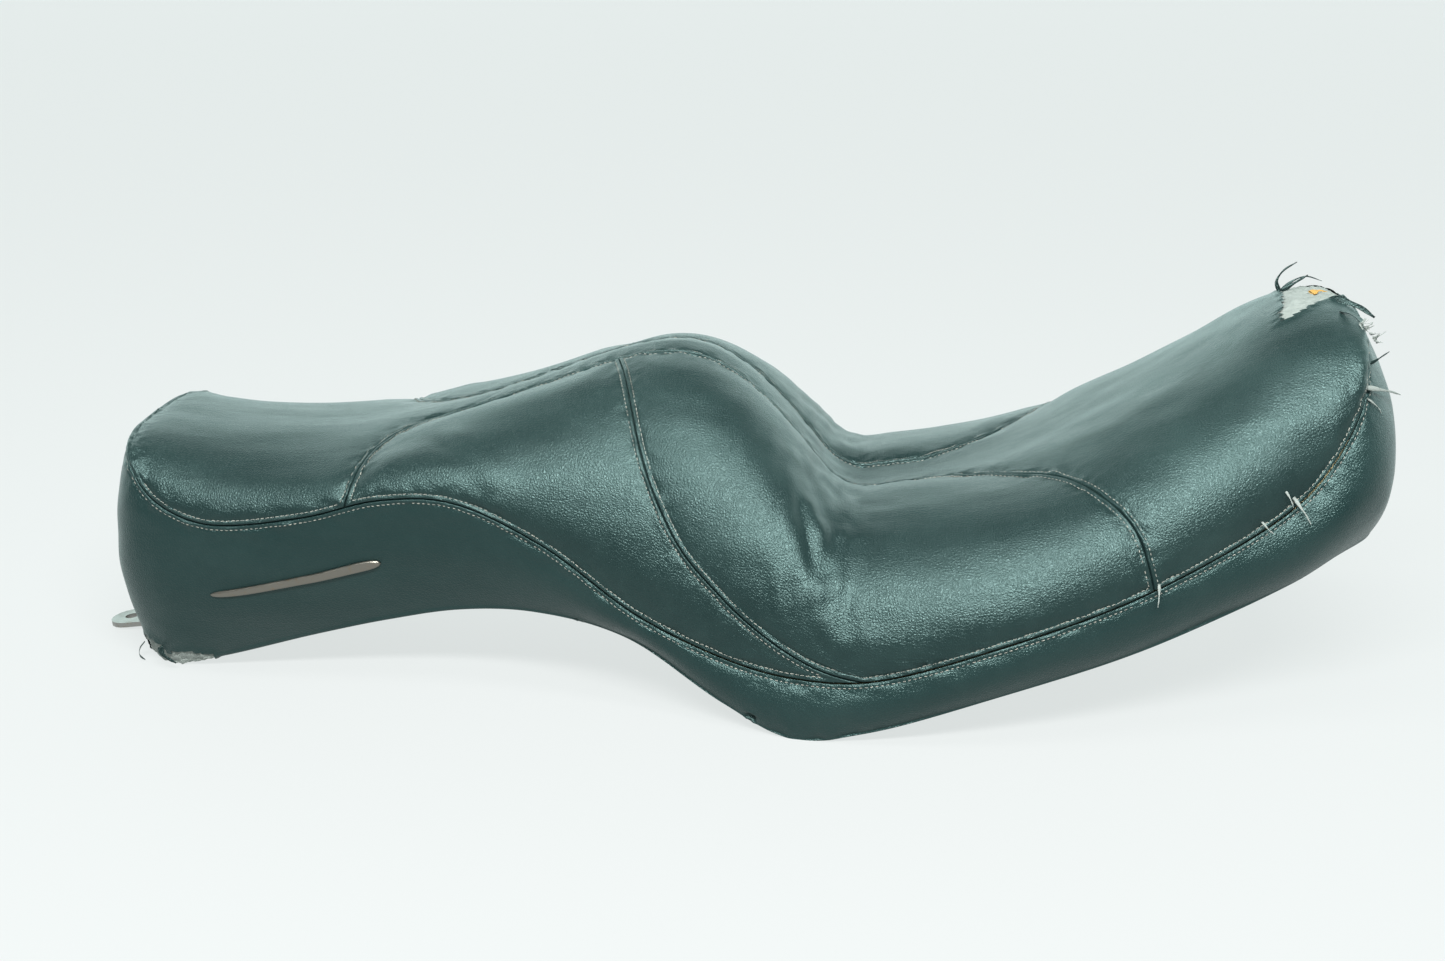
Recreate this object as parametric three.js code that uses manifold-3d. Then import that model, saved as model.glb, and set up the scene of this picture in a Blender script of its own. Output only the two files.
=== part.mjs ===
// A two-up motorcycle seat, in millimetres: a moulded pan, a foam bun and a sewn vinyl cover.
// +X runs forward to the nose, +Y to the rider's left and +Z up. The seat stands as it rests on a floor
// at z = 0, on the two low points under the rider and the two rear corners. It mirrors about y = 0.
import * as THREE from "three";
import { mergeVertices } from "three/addons/utils/BufferGeometryUtils.js";
import Module from "manifold-3d";

const wasm = await Module();
wasm.setup();

// --- Driving dimensions -------------------------------------------------------------------------

// The seam between the top panels and the valance, from the middle of the rear end, along the left
// side, to the middle of the nose: x, half width, height.
const SEAM_LINE = [
  [-351, 0, 139],
  [-349, 42, 138],
  [-341, 72, 130],
  [-326, 83, 111],
  [-295, 90, 98],
  [-235, 94, 104],
  [-190, 96, 116],
  [-148, 99, 117],
  [-96, 104, 95],
  [-39, 116, 58],
  [18, 134, 39],
  [51, 143, 35],
  [89, 149, 37],
  [158, 148, 58],
  [240, 131, 87],
  [318, 105, 130],
  [340, 96, 158],
  [351, 86, 182],
  [356, 62, 204],
  [358, 32, 215],
  [359, 0, 219],
];

// The bottom edge of the valance, point for point below the seam line.
const BASE_LINE = [
  [-352, 0, 10],
  [-350, 36, 8],
  [-343, 56, 4],
  [-326, 65, 0],
  [-295, 68, 7],
  [-235, 73, 25],
  [-190, 77, 37],
  [-148, 82, 46],
  [-104, 90, 49],
  [-50, 106, 42],
  [8, 131, 14],
  [48, 145, -0.3],
  [89, 148, 6],
  [158, 143, 27],
  [240, 125, 51],
  [318, 101, 82],
  [344, 89, 95],
  [363, 72, 100],
  [369, 52, 101],
  [372, 26, 102],
  [372, 0, 102],
];

// Height of the top along the middle of the seat: x, height.
const CROWN = [
  [-351, 139],
  [-341, 140],
  [-320, 137],
  [-291, 134],
  [-229, 134],
  [-167, 146],
  [-106, 166],
  [-75, 178],
  [-51, 185],
  [-28, 188],
  [-10, 185],
  [10, 174],
  [32, 153],
  [50, 131],
  [64, 114],
  [80, 106],
  [104, 109],
  [133, 115],
  [170, 127],
  [220, 154],
  [275, 187],
  [308, 210],
  [328, 219],
  [346, 222],
  [359, 219],
];

// How square the cross-section of the top is: x, exponent (2 is an ellipse).
const SQUARENESS = [
  [-351, 2.8],
  [-200, 2.6],
  [-60, 2.2],
  [0, 2.3],
  [60, 3.6],
  [120, 3.6],
  [200, 2.8],
  [300, 2.4],
  [359, 2.4],
];
const CAP_ROOT = 2.2;

// Depth of the valley between the two thigh bolsters: x, depth.
const VALLEY = [
  [10, 0],
  [60, 5],
  [90, 6],
  [130, 4],
  [200, 0],
];
const VALLEY_HALF_WIDTH = 24;

// How far the valance swells out halfway down: x, depth.
const VALANCE_SWELL = [
  [-351, 13],
  [-300, 9],
  [-150, 5],
  [150, 5],
  [300, 8],
  [359, 16],
];

// Sewing lines across the top. Sweep is the place across: 0 in the middle, 1 at the seam line.
// Each list gives sweep, x. Inside the first sweep the long centre strip runs through.
const STRIP_SWEEP = 0.09;
const REAR_FLARE = [
  [STRIP_SWEEP, -140],
  [0.13, -165],
  [0.2, -184],
  [0.3, -194],
  [0.5, -202],
  [0.78, -206],
  [1, -209],
];
const CROSS_SEAM = [
  [STRIP_SWEEP, -62],
  [0.2, -57],
  [0.56, -41],
  [0.76, -22],
  [0.87, 7],
  [0.94, 41],
  [1, 86],
];
const NOSE_FLARE = [
  [STRIP_SWEEP, 120],
  [0.13, 140],
  [0.2, 162],
  [0.34, 190],
  [0.53, 211],
  [0.78, 231],
  [1, 240],
];

const COVER = 2; // vinyl with its knitted backing
const WADDING = 3; // fleece under the vinyl
const CLEAR = 1.2; // gap between neighbouring layers
const SEAM_DROP = COVER + 2 * CLEAR; // the valance starts this far below the seam line
const SEAM_GAP = 0.3; // half gap at a sewing line

const PAN_THICKNESS = 4;
const PAN_RIM = 20; // width of the flat rim that the cover is stapled to
const PAN_WALL = 10; // width of the sloping wall between the rim and the roof of the pan
const WALL_SHIFT = 3.5; // the wall's upper face stands this far outside its lower one
const PAN_LIFT = COVER + 2 * CLEAR; // the rim lies on the turned-under cover
const COVER_RETURN = 16; // width of cover turned under the rim

// Underside of the pan's roof, which clears the mudguard and the frame below it: x, height.
const PAN_ROOF = [
  [-351, 24],
  [-295, 35],
  [-235, 52],
  [-190, 64],
  [-148, 72],
  [-104, 74],
  [-50, 66],
  [8, 42],
  [48, 30],
  [89, 32],
  [158, 48],
  [240, 70],
  [318, 97],
  [372, 114],
];

// Steel strips bent from flat bar: centre line as x, height. Both bolt to the roof of the pan.
const REAR_TAB = [
  [-376, 3.6],
  [-352, 6.5],
  [-322, 7.5],
  [-309, 27.5],
  [-262, 40.5],
];
const FRONT_TONGUE = [
  [255, 71.5],
  [296, 86],
  [314, 80],
  [350, 90],
];
const STRIP_THICKNESS = 3;
const REAR_TAB_WIDTH = 26;
const REAR_TAB_HOLE_RADIUS = 4.5;
const REAR_TAB_HOLE_X = -376;
const TONGUE_WIDTH = 44;
const RIVET_HEAD_RADIUS = 5;
const RIVET_HEAD_HEIGHT = 2;
const RIVET_CROWN_RADIUS = 3.5;
const RIVET_CROWN_HEIGHT = 1.7;
const RIVET_SEAT_GAP = 0.6;
const RIVET_SHANK_RADIUS = 2.4;
const RIVET_GRIP = 7; // how far the shank reaches up through the strip into the pan
const RIVET_CLEAR = 0.3;
const DRILL_REACH = 10; // how far below the strip a rivet hole's cut starts
const REAR_RIVET_X = [-296, -274];
const TONGUE_RIVET_X = [264, 286];
const TONGUE_RIVET_Y = 12;

const BUMPER_RADIUS = 12;
const BUMPER_HEIGHT = 14;
const BUMPER_GAP = 2;
const BUMPER_SHOULDER = 4;
const BUMPER_FOOT_RADIUS = 9;
const BUMPER_SOCKET_RADIUS = 6;
const BUMPER_SOCKET_FLOOR = 5;
const BUMPER_PIN_REACH = 4; // how far the pin's shank reaches up into the pan
const BUMPER_PIN_SEAT = 5.4;
const BUMPER_PIN_EDGE = 8.5;
const BUMPER_PIN_CROWN = 10;
const BUMPER_PLACES = [
  ["rear", -190, 33],
  ["middle", -70, 56],
  ["front", 130, 84],
];

const BADGE = { from: 0.202, to: 0.3, fall: 0.49, halfHeight: 0.045, gap: 0.7, thickness: 1.8 };

const END_MARGIN = 0.003; // share of the outline left out at the middle of each end
const ZONE_ROWS = [7, 6, 9, 7]; // cross-sections in each zone between sewing lines, rear to nose
const HALF_SWEEPS = [0, STRIP_SWEEP, 0.2, 0.4, 0.62, 0.78, 0.88, 0.95, 1];
const SIDE_FALLS = [0.3, 0.65, 1]; // places down the side, 0 at the seam and 1 at the base

// --- Curves -------------------------------------------------------------------------------------

const point = ([x, y, z]) => new THREE.Vector3(x, y, z);
const seamCurve = new THREE.CatmullRomCurve3(SEAM_LINE.map(point));
const baseCurve = new THREE.CatmullRomCurve3(BASE_LINE.map(point));

// A smooth curve through [x, value] points, read back at any x between them.
function profile(points) {
  const curve = new THREE.CatmullRomCurve3(points.map(([x, value]) => new THREE.Vector3(x, value, 0)));
  const samples = curve.getPoints(points.length * 12);
  return (x) => {
    const next = samples.findIndex((sample) => sample.x > x);
    if (next === 0) return samples[0].y;
    if (next < 0) return samples.at(-1).y;
    const before = samples[next - 1];
    const share = (x - before.x) / (samples[next].x - before.x);
    return THREE.MathUtils.lerp(before.y, samples[next].y, share);
  };
}

const crownHeight = profile(CROWN);
const squareness = profile(SQUARENESS);
const valleyDepth = profile(VALLEY);
const valanceSwell = profile(VALANCE_SWELL);
const roofHeight = profile(PAN_ROOF);
const flareLines = [REAR_FLARE, CROSS_SEAM, NOSE_FLARE].map(profile);

// The outline parameter (0 at the rear, 1 at the nose) whose seam point lies at x.
function outlineAt(x) {
  let low = 0;
  let high = 1;
  while (high - low > 1e-5) {
    const middle = (low + high) / 2;
    if (seamCurve.getPoint(middle).x < x) low = middle;
    else high = middle;
  }
  return low;
}

// A point of an outline curve, moved inwards in plan by depth and down by drop.
function inset(curve, outline, depth, drop = 0) {
  const place = curve.getPoint(outline);
  const along = curve.getTangent(outline);
  const length = Math.hypot(along.x, along.y);
  place.x += (along.y / length) * depth;
  place.y -= (along.x / length) * depth;
  place.z -= drop;
  return place;
}

// A point of the top, depth below its skin. Sweep runs from -1 at the right seam to 1 at the left.
function topPoint(outline, sweep, depth = 0) {
  const edge = inset(seamCurve, outline, depth, depth);
  const across = Math.sin((sweep * Math.PI) / 2);
  const y = across * edge.y;
  const rise = crownHeight(edge.x) - depth - edge.z;
  const cap = (1 - Math.abs(across) ** squareness(edge.x)) ** (1 / CAP_ROOT);
  const bolster = 1 - across ** 4 - Math.exp(-((y / VALLEY_HALF_WIDTH) ** 2));
  const valley = Math.abs(sweep) < 1 ? valleyDepth(edge.x) * bolster : 0;
  return new THREE.Vector3(edge.x, y, edge.z + rise * cap + valley);
}

// A point of the left valance, depth below its skin. Fall runs from 0 at the seam to 1 at the base.
function sidePoint(outline, fall, depth = 0) {
  const high = inset(seamCurve, outline, depth);
  const low = inset(baseCurve, outline, depth);
  const swell = valanceSwell(high.x) * 4 * fall * (1 - fall);
  const out = inset(baseCurve, outline, depth - swell).sub(low);
  return high.lerp(low, fall).add(out);
}

const mirrored = (place) => new THREE.Vector3(place.x, -place.y, place.z);
const steps = (count) => Array.from({ length: count + 1 }, (_, index) => index / count);

// Rows of the top run across it. The first and last are the seat's ends, the sewing lines are rows
// too, and the others lie evenly between them, so that every layer has the same facets.
const ROW_COUNT = ZONE_ROWS.reduce((sum, rows) => sum + rows, 0);
const SEAM_ROWS = [ZONE_ROWS[0], ZONE_ROWS[0] + ZONE_ROWS[1], ROW_COUNT - ZONE_ROWS[3]];

function rowOutline(row, sweep) {
  const lines = flareLines.map((line) => outlineAt(line(Math.abs(sweep))));
  const bounds = [END_MARGIN, ...lines, 1 - END_MARGIN];
  const starts = [0, ...SEAM_ROWS];
  const zone = starts.findLastIndex((start) => row >= start);
  if (row >= ROW_COUNT) return bounds.at(-1);
  return THREE.MathUtils.lerp(bounds[zone], bounds[zone + 1], (row - starts[zone]) / ZONE_ROWS[zone]);
}

const rows = Array.from({ length: ROW_COUNT + 1 }, (_, row) => row);
const outlines = rows.map((row) => rowOutline(row, 1));
const SWEEPS = [...HALF_SWEEPS.slice(1).reverse().map((sweep) => -sweep), ...HALF_SWEEPS];

// --- Solids -------------------------------------------------------------------------------------

// A closed mesh between two grids of points with the same numbers of rows and columns. It covers the
// cells that included(row, column) names, and has a wall wherever a covered cell has no neighbour.
function slab(outer, inner, included = () => true) {
  const rowCount = outer.length;
  const columnCount = outer[0].length;
  const at = ([row, column], layer) => (layer * rowCount + row) * columnCount + column;
  const covered = (row, column) =>
    row >= 0 && column >= 0 && row < rowCount - 1 && column < columnCount - 1 && included(row, column);
  const faces = [];
  const quad = (a, b, c, d) => faces.push(a, b, c, a, c, d);
  for (let row = 0; row < rowCount - 1; row += 1) {
    for (let column = 0; column < columnCount - 1; column += 1) {
      if (!covered(row, column)) continue;
      const corners = [[row, column], [row + 1, column], [row + 1, column + 1], [row, column + 1]];
      const neighbours = [[row, column - 1], [row + 1, column], [row, column + 1], [row - 1, column]];
      quad(...[0, 1, 2, 3].map((k) => at(corners[k], 0)));
      quad(...[0, 3, 2, 1].map((k) => at(corners[k], 1)));
      neighbours.forEach((neighbour, k) => {
        if (covered(...neighbour)) return;
        const [from, to] = [corners[k], corners[(k + 1) % 4]];
        quad(at(to, 0), at(from, 0), at(from, 1), at(to, 1));
      });
    }
  }
  const points = new THREE.BufferGeometry().setFromPoints([...outer.flat(), ...inner.flat()]);
  points.setIndex(faces);
  return facingOut(mergeVertices(points.toNonIndexed(), 1e-4));
}

// Turns every face over when the mesh is inside out.
function facingOut(geometry) {
  const { array } = geometry.index;
  const places = [0, 1, 2].map(() => new THREE.Vector3());
  let volume = 0;
  for (let i = 0; i < array.length; i += 3) {
    places.forEach((place, k) => place.fromBufferAttribute(geometry.attributes.position, array[i + k]));
    volume += places[0].dot(places[1].clone().cross(places[2]));
  }
  if (volume < 0) geometry.setIndex(Array.from(array).reverse());
  return geometry;
}

// A three.js geometry as a manifold-3d solid, and back again.
function solid(geometry, matrix = new THREE.Matrix4()) {
  const bare = geometry.clone();
  bare.deleteAttribute("normal");
  bare.deleteAttribute("uv");
  bare.applyMatrix4(matrix);
  const merged = mergeVertices(bare, 1e-4);
  return new wasm.Manifold(
    new wasm.Mesh({
      numProp: 3,
      vertProperties: new Float32Array(merged.attributes.position.array),
      triVerts: new Uint32Array(merged.index.array),
    }),
  );
}

function geometryOf(manifold) {
  const mesh = manifold.getMesh();
  const geometry = new THREE.BufferGeometry();
  geometry.setAttribute("position", new THREE.BufferAttribute(mesh.vertProperties, 3));
  geometry.setIndex(new THREE.BufferAttribute(mesh.triVerts, 1));
  geometry.computeVertexNormals();
  return geometry;
}

// --- Materials ----------------------------------------------------------------------------------

const finish = (color, roughness, metalness = 0) =>
  new THREE.MeshStandardMaterial({ color, roughness, metalness });
const VINYL = finish("#1b2224", 0.45);
const VALANCE_VINYL = finish("#20282a", 0.55);
const FLEECE = finish("#d8d8d0", 0.95);
const FOAM = finish("#d9b45a", 0.9);
const PLASTIC = finish("#16181a", 0.6);
const RUBBER = finish("#101112", 0.85);
const STEEL = finish("#8d9294", 0.4, 0.9);
const BADGE_METAL = finish("#a9a594", 0.35, 0.8);

const seat = new THREE.Group();
seat.position.set(3.5, 0, -0.5); // the origin is at the middle of the bounding box's bottom face

function add(name, geometry, material) {
  const mesh = new THREE.Mesh(geometry, material);
  mesh.name = name;
  seat.add(mesh);
}

// --- Cover --------------------------------------------------------------------------------------

const ROW_GAP = 0.02; // half gap at a sewing line across, as a share of a row
const SWEEP_GAP = 0.003; // half gap at a sewing line along

// A solid over the top between two depths, on a grid of rows and sweeps.
function topLayer(gridRows, sweeps, from, to, included) {
  const layer = (depth) =>
    gridRows.map((row) => sweeps.map((sweep) => topPoint(rowOutline(row, sweep), sweep, depth)));
  return slab(layer(from), layer(to), included);
}

// The long centre panel: a strip over the hump and bucket that widens to the seam line at both ends.
function centrePanel() {
  const [rear, , front] = SEAM_ROWS;
  const gridRows = rows.map((row) => row + (row === front ? ROW_GAP : 0) - (row === rear ? ROW_GAP : 0));
  const narrowing = (sweep) => (Math.abs(sweep) === STRIP_SWEEP ? Math.sign(sweep) * SWEEP_GAP : 0);
  const sweeps = SWEEPS.map((sweep) => sweep - narrowing(sweep));
  const inStrip = (column) => Math.abs(sweeps[column] + sweeps[column + 1]) < 2 * STRIP_SWEEP;
  return topLayer(gridRows, sweeps, 0, COVER, (row, column) => row < rear || row >= front || inStrip(column));
}

// A panel beside the strip, from one sewing line across to the next. Side is 1 left, -1 right.
function sidePanel(side, firstRow, lastRow) {
  const gridRows = rows.slice(firstRow, lastRow + 1);
  gridRows[0] += ROW_GAP;
  gridRows[gridRows.length - 1] -= ROW_GAP;
  const halfSweeps = [STRIP_SWEEP + SWEEP_GAP, ...HALF_SWEEPS.slice(2)];
  const sweeps = side > 0 ? halfSweeps : halfSweeps.toReversed().map((sweep) => -sweep);
  return topLayer(gridRows, sweeps, 0, COVER);
}

// One half of the valance: down the side, round the bottom edge and back under the rim of the pan.
function valance(side) {
  const place = (vector) => new THREE.Vector3(vector.x, side * Math.max(vector.y, SEAM_GAP), vector.z);
  const strip = (depth) =>
    [0, ...outlines, 1].map((outline) => {
      const height = seamCurve.getPoint(outline).z - baseCurve.getPoint(outline).z;
      const falls = [SEAM_DROP / height, ...SIDE_FALLS];
      const wall = falls.map((fall) => sidePoint(outline, fall, depth));
      wall.at(-1).z += depth;
      const under = inset(baseCurve, outline, COVER_RETURN, -depth);
      const line = [...wall, under].map(place);
      return side > 0 ? line : line.reverse();
    });
  return slab(strip(0), strip(COVER));
}

// --- Inside -------------------------------------------------------------------------------------

// One cross-section of the pan, from the right rim to the left, raised by lift from its underside.
function panSection(outline, lift, shift) {
  const ring = (depth, height) => inset(baseCurve, outline, depth, -height);
  const rim = PAN_LIFT + lift;
  const edge = ring(PAN_LIFT, rim);
  const rimEnd = ring(PAN_RIM - shift, rim);
  const roof = ring(PAN_RIM + PAN_WALL - shift, rim);
  roof.z = roofHeight(roof.x) + lift;
  const half = steps(3).map((share) => {
    const place = roof.clone();
    place.y *= share;
    return place;
  });
  const left = [...half, rimEnd, edge];
  return [...left.slice(1).reverse().map(mirrored), ...left];
}

function basePan() {
  const under = outlines.map((outline) => panSection(outline, 0, 0));
  const over = outlines.map((outline) => panSection(outline, PAN_THICKNESS, WALL_SHIFT));
  return slab(over, under);
}

// The moulded foam: its skin runs from the rim of the pan up one side, over the top and down the other.
function foamBun() {
  const depth = COVER + WADDING + 3 * CLEAR;
  const skin = outlines.map((outline, row) => {
    const top = SWEEPS.map((sweep) => topPoint(rowOutline(row, sweep), sweep, depth));
    const foot = baseCurve.getPoint(outline).z + PAN_LIFT + PAN_THICKNESS + CLEAR;
    const side = SIDE_FALLS.map((fall) => {
      const place = sidePoint(outline, fall, COVER + CLEAR);
      place.z = THREE.MathUtils.lerp(top[0].z, foot, fall);
      return place;
    });
    return [...side.toReversed().map(mirrored), ...top, ...side];
  });
  const sole = outlines.map((outline) =>
    withPoints(panSection(outline, PAN_THICKNESS + CLEAR, WALL_SHIFT + 2 * CLEAR), skin[0].length),
  );
  return slab(skin, sole);
}

// The same open line with more points, all added evenly in the two spans beside its middle.
function withPoints(line, count) {
  const middle = (line.length - 1) / 2;
  const extra = (count - line.length) / 2;
  const fill = (from, to) => steps(extra + 1).slice(1, -1).map((share) => from.clone().lerp(to, share));
  return [
    ...line.slice(0, middle),
    ...fill(line[middle - 1], line[middle]),
    line[middle],
    ...fill(line[middle], line[middle + 1]),
    ...line.slice(middle + 1),
  ];
}

// --- Hardware -----------------------------------------------------------------------------------

// A pose whose local +Z runs along a direction.
function pose(place, direction) {
  const turn = new THREE.Quaternion().setFromUnitVectors(new THREE.Vector3(0, 0, 1), direction);
  return new THREE.Matrix4().compose(place, turn, new THREE.Vector3(1, 1, 1));
}

// A cylinder that runs from start to end along local +Z.
function pin(radius, start, end, sides = 8) {
  const cylinder = new THREE.CylinderGeometry(radius, radius, end - start, sides);
  return cylinder.rotateX(Math.PI / 2).translate(0, 0, (start + end) / 2);
}

// A turned solid from a closed [radius, height] profile about local +Z.
function turned(profilePoints, sides) {
  const closed = [...profilePoints, profilePoints[0]].map((place) => new THREE.Vector2(...place));
  const lathe = new THREE.LatheGeometry(closed, sides).rotateX(Math.PI / 2);
  return facingOut(mergeVertices(bareGeometry(lathe), 1e-4));
}

function bareGeometry(geometry) {
  geometry.deleteAttribute("normal");
  geometry.deleteAttribute("uv");
  return geometry;
}

// A flat strip bent along a centre line, with one end rounded about its last hole.
function bentStrip(line, width, rounded) {
  const centre = line.map(([x, z]) => new THREE.Vector2(x, z));
  const offset = (distance) =>
    centre.map((place, k) => {
      const before = centre[Math.max(k - 1, 0)];
      const after = centre[Math.min(k + 1, centre.length - 1)];
      const along = after.clone().sub(before).normalize();
      return new THREE.Vector2(place.x - along.y * distance, place.y + along.x * distance);
    });
  const outline = [...offset(STRIP_THICKNESS / 2), ...offset(-STRIP_THICKNESS / 2).reverse()];
  const shape = new THREE.Shape(outline);
  const strip = new THREE.ExtrudeGeometry(shape, { depth: width, bevelEnabled: false });
  strip.rotateX(Math.PI / 2).translate(0, width / 2, 0);
  if (!rounded) return solid(strip);
  const [end, next] = centre;
  const along = next.clone().sub(end).normalize();
  const upright = new THREE.Vector3(-along.y, 0, along.x);
  const place = pose(new THREE.Vector3(end.x, 0, end.y), upright);
  const disc = pin(width / 2, -STRIP_THICKNESS / 2, STRIP_THICKNESS / 2, 20);
  const hole = pin(REAR_TAB_HOLE_RADIUS, -2 * STRIP_THICKNESS, 2 * STRIP_THICKNESS, 16);
  return solid(strip).add(solid(disc, place)).subtract(solid(hole, place));
}

// The direction square to the pan's roof at x, pointing up into the foam.
function roofNormal(x) {
  const slope = (roofHeight(x + 5) - roofHeight(x - 5)) / 10;
  return new THREE.Vector3(-slope, 0, 1).normalize();
}

// The underside of a bent strip or of the roof at x.
const stripUnder = (line, x) => profileLine(line)(x) - STRIP_THICKNESS / 2;

function profileLine(line) {
  return (x) => {
    const k = line.findIndex(([place]) => place >= x);
    const [[x0, z0], [x1, z1]] = [line[k - 1], line[k]];
    return THREE.MathUtils.lerp(z0, z1, (x - x0) / (x1 - x0));
  };
}

function rivetPose(line, x, y) {
  const normal = roofNormal(x);
  const place = new THREE.Vector3(x, y, stripUnder(line, x) - RIVET_SEAT_GAP);
  return pose(place, normal);
}

const RIVET_PROFILE = [
  [0, -RIVET_HEAD_HEIGHT],
  [RIVET_CROWN_RADIUS, -RIVET_CROWN_HEIGHT],
  [RIVET_HEAD_RADIUS, 0],
  [RIVET_SHANK_RADIUS, 0],
  [RIVET_SHANK_RADIUS, RIVET_GRIP],
  [0, RIVET_GRIP],
];

const rivets = [
  ...REAR_RIVET_X.map((x, k) => ({ name: `rear_tab_rivet_${k + 1}`, line: REAR_TAB, x, y: 0 })),
  ...TONGUE_RIVET_X.flatMap((x, k) =>
    [1, -1].map((side) => ({
      name: `front_tongue_rivet_${2 * k + (side > 0 ? 1 : 2)}`,
      line: FRONT_TONGUE,
      x,
      y: side * TONGUE_RIVET_Y,
    })),
  ),
];

// A rubber bumper under the roof, hung on a push pin whose head sits in the bumper's foot.
const BUMPER_PROFILE = [
  [RIVET_SHANK_RADIUS + RIVET_CLEAR, 0],
  [RIVET_SHANK_RADIUS + RIVET_CLEAR, BUMPER_SOCKET_FLOOR],
  [BUMPER_SOCKET_RADIUS, BUMPER_SOCKET_FLOOR],
  [BUMPER_SOCKET_RADIUS, BUMPER_HEIGHT],
  [BUMPER_FOOT_RADIUS, BUMPER_HEIGHT],
  [BUMPER_RADIUS, BUMPER_SHOULDER],
  [BUMPER_RADIUS, 0],
];
const BUMPER_PIN_PROFILE = [
  [0, BUMPER_PIN_CROWN],
  [RIVET_HEAD_RADIUS, BUMPER_PIN_EDGE],
  [RIVET_HEAD_RADIUS, BUMPER_PIN_SEAT],
  [RIVET_SHANK_RADIUS, BUMPER_PIN_SEAT],
  [RIVET_SHANK_RADIUS, -BUMPER_PIN_REACH],
  [0, -BUMPER_PIN_REACH],
];

const bumpers = BUMPER_PLACES.flatMap(([name, x, y]) =>
  [1, -1].map((side) => ({
    name: `${name}_${side > 0 ? "left" : "right"}`,
    pose: pose(new THREE.Vector3(x, side * y, roofHeight(x) - BUMPER_GAP), roofNormal(x).negate()),
  })),
);

// A slim trim bar on the valance, tapered to both ends.
function badge(side) {
  const place = (point) => (side > 0 ? point : mirrored(point));
  const layer = (depth) =>
    steps(8).map((along) => {
      const outline = THREE.MathUtils.lerp(BADGE.from, BADGE.to, along);
      const half = BADGE.halfHeight * (0.25 + 0.75 * Math.sin(Math.PI * along) ** 0.5);
      const line = [-1, 1].map((edge) => place(sidePoint(outline, BADGE.fall + edge * half, depth)));
      return side > 0 ? line : line.reverse();
    });
  return slab(layer(-BADGE.gap - BADGE.thickness), layer(-BADGE.gap));
}

// --- Assembly -----------------------------------------------------------------------------------

const SIDES = [
  ["left", 1],
  ["right", -1],
];

function rivetHole({ line, x, y }) {
  const drill = pin(RIVET_SHANK_RADIUS + RIVET_CLEAR, -DRILL_REACH, RIVET_GRIP + RIVET_CLEAR);
  return solid(drill, rivetPose(line, x, y));
}

function pinHole({ pose: place }) {
  const drill = pin(RIVET_SHANK_RADIUS + RIVET_CLEAR, -BUMPER_PIN_REACH - RIVET_CLEAR, BUMPER_SOCKET_FLOOR);
  return solid(drill, place);
}

const rivetHoles = rivets.map(rivetHole);
const pinHoles = bumpers.map(pinHole);
const without = (body, cuts) => geometryOf(cuts.reduce((rest, cut) => rest.subtract(cut), body));

const [pillionRow, crossRow, noseRow] = SEAM_ROWS;
add("centre_panel", centrePanel(), VINYL);
for (const [name, side] of SIDES) {
  add(`pillion_side_panel_${name}`, sidePanel(side, pillionRow, crossRow), VINYL);
  add(`bucket_panel_${name}`, sidePanel(side, crossRow, noseRow), VINYL);
  add(`valance_${name}`, valance(side), VALANCE_VINYL);
  add(`badge_${name}`, badge(side), BADGE_METAL);
}
add("top_wadding", topLayer(rows, SWEEPS, COVER + CLEAR, COVER + CLEAR + WADDING), FLEECE);
add("foam_bun", foamBun(), FOAM);
add("base_pan", without(solid(basePan()), [...rivetHoles, ...pinHoles]), PLASTIC);

add("rear_mounting_tab", without(bentStrip(REAR_TAB, REAR_TAB_WIDTH, true), rivetHoles.slice(0, 2)), STEEL);
const tongue = bentStrip(FRONT_TONGUE, TONGUE_WIDTH, false);
add("front_tongue_bracket", without(tongue, rivetHoles.slice(2)), STEEL);
for (const { name, line, x, y } of rivets) {
  add(name, turned(RIVET_PROFILE, 8).applyMatrix4(rivetPose(line, x, y)), STEEL);
}
for (const { name, pose: place } of bumpers) {
  add(`bumper_${name}`, turned(BUMPER_PROFILE, 12).applyMatrix4(place), RUBBER);
  add(`bumper_pin_${name}`, turned(BUMPER_PIN_PROFILE, 8).applyMatrix4(place), PLASTIC);
}

export default seat;
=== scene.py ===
"""The looks of a used two-up motorcycle seat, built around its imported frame.

The key curves are in millimetres from the middle of the seat and are the ones the frame is made from;
everything that Blender is given is in metres in the frame's own axes: +X to the nose, +Y left, +Z up.
"""

import math

import bpy
import numpy as np
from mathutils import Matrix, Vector
from mathutils.kdtree import KDTree


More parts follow.
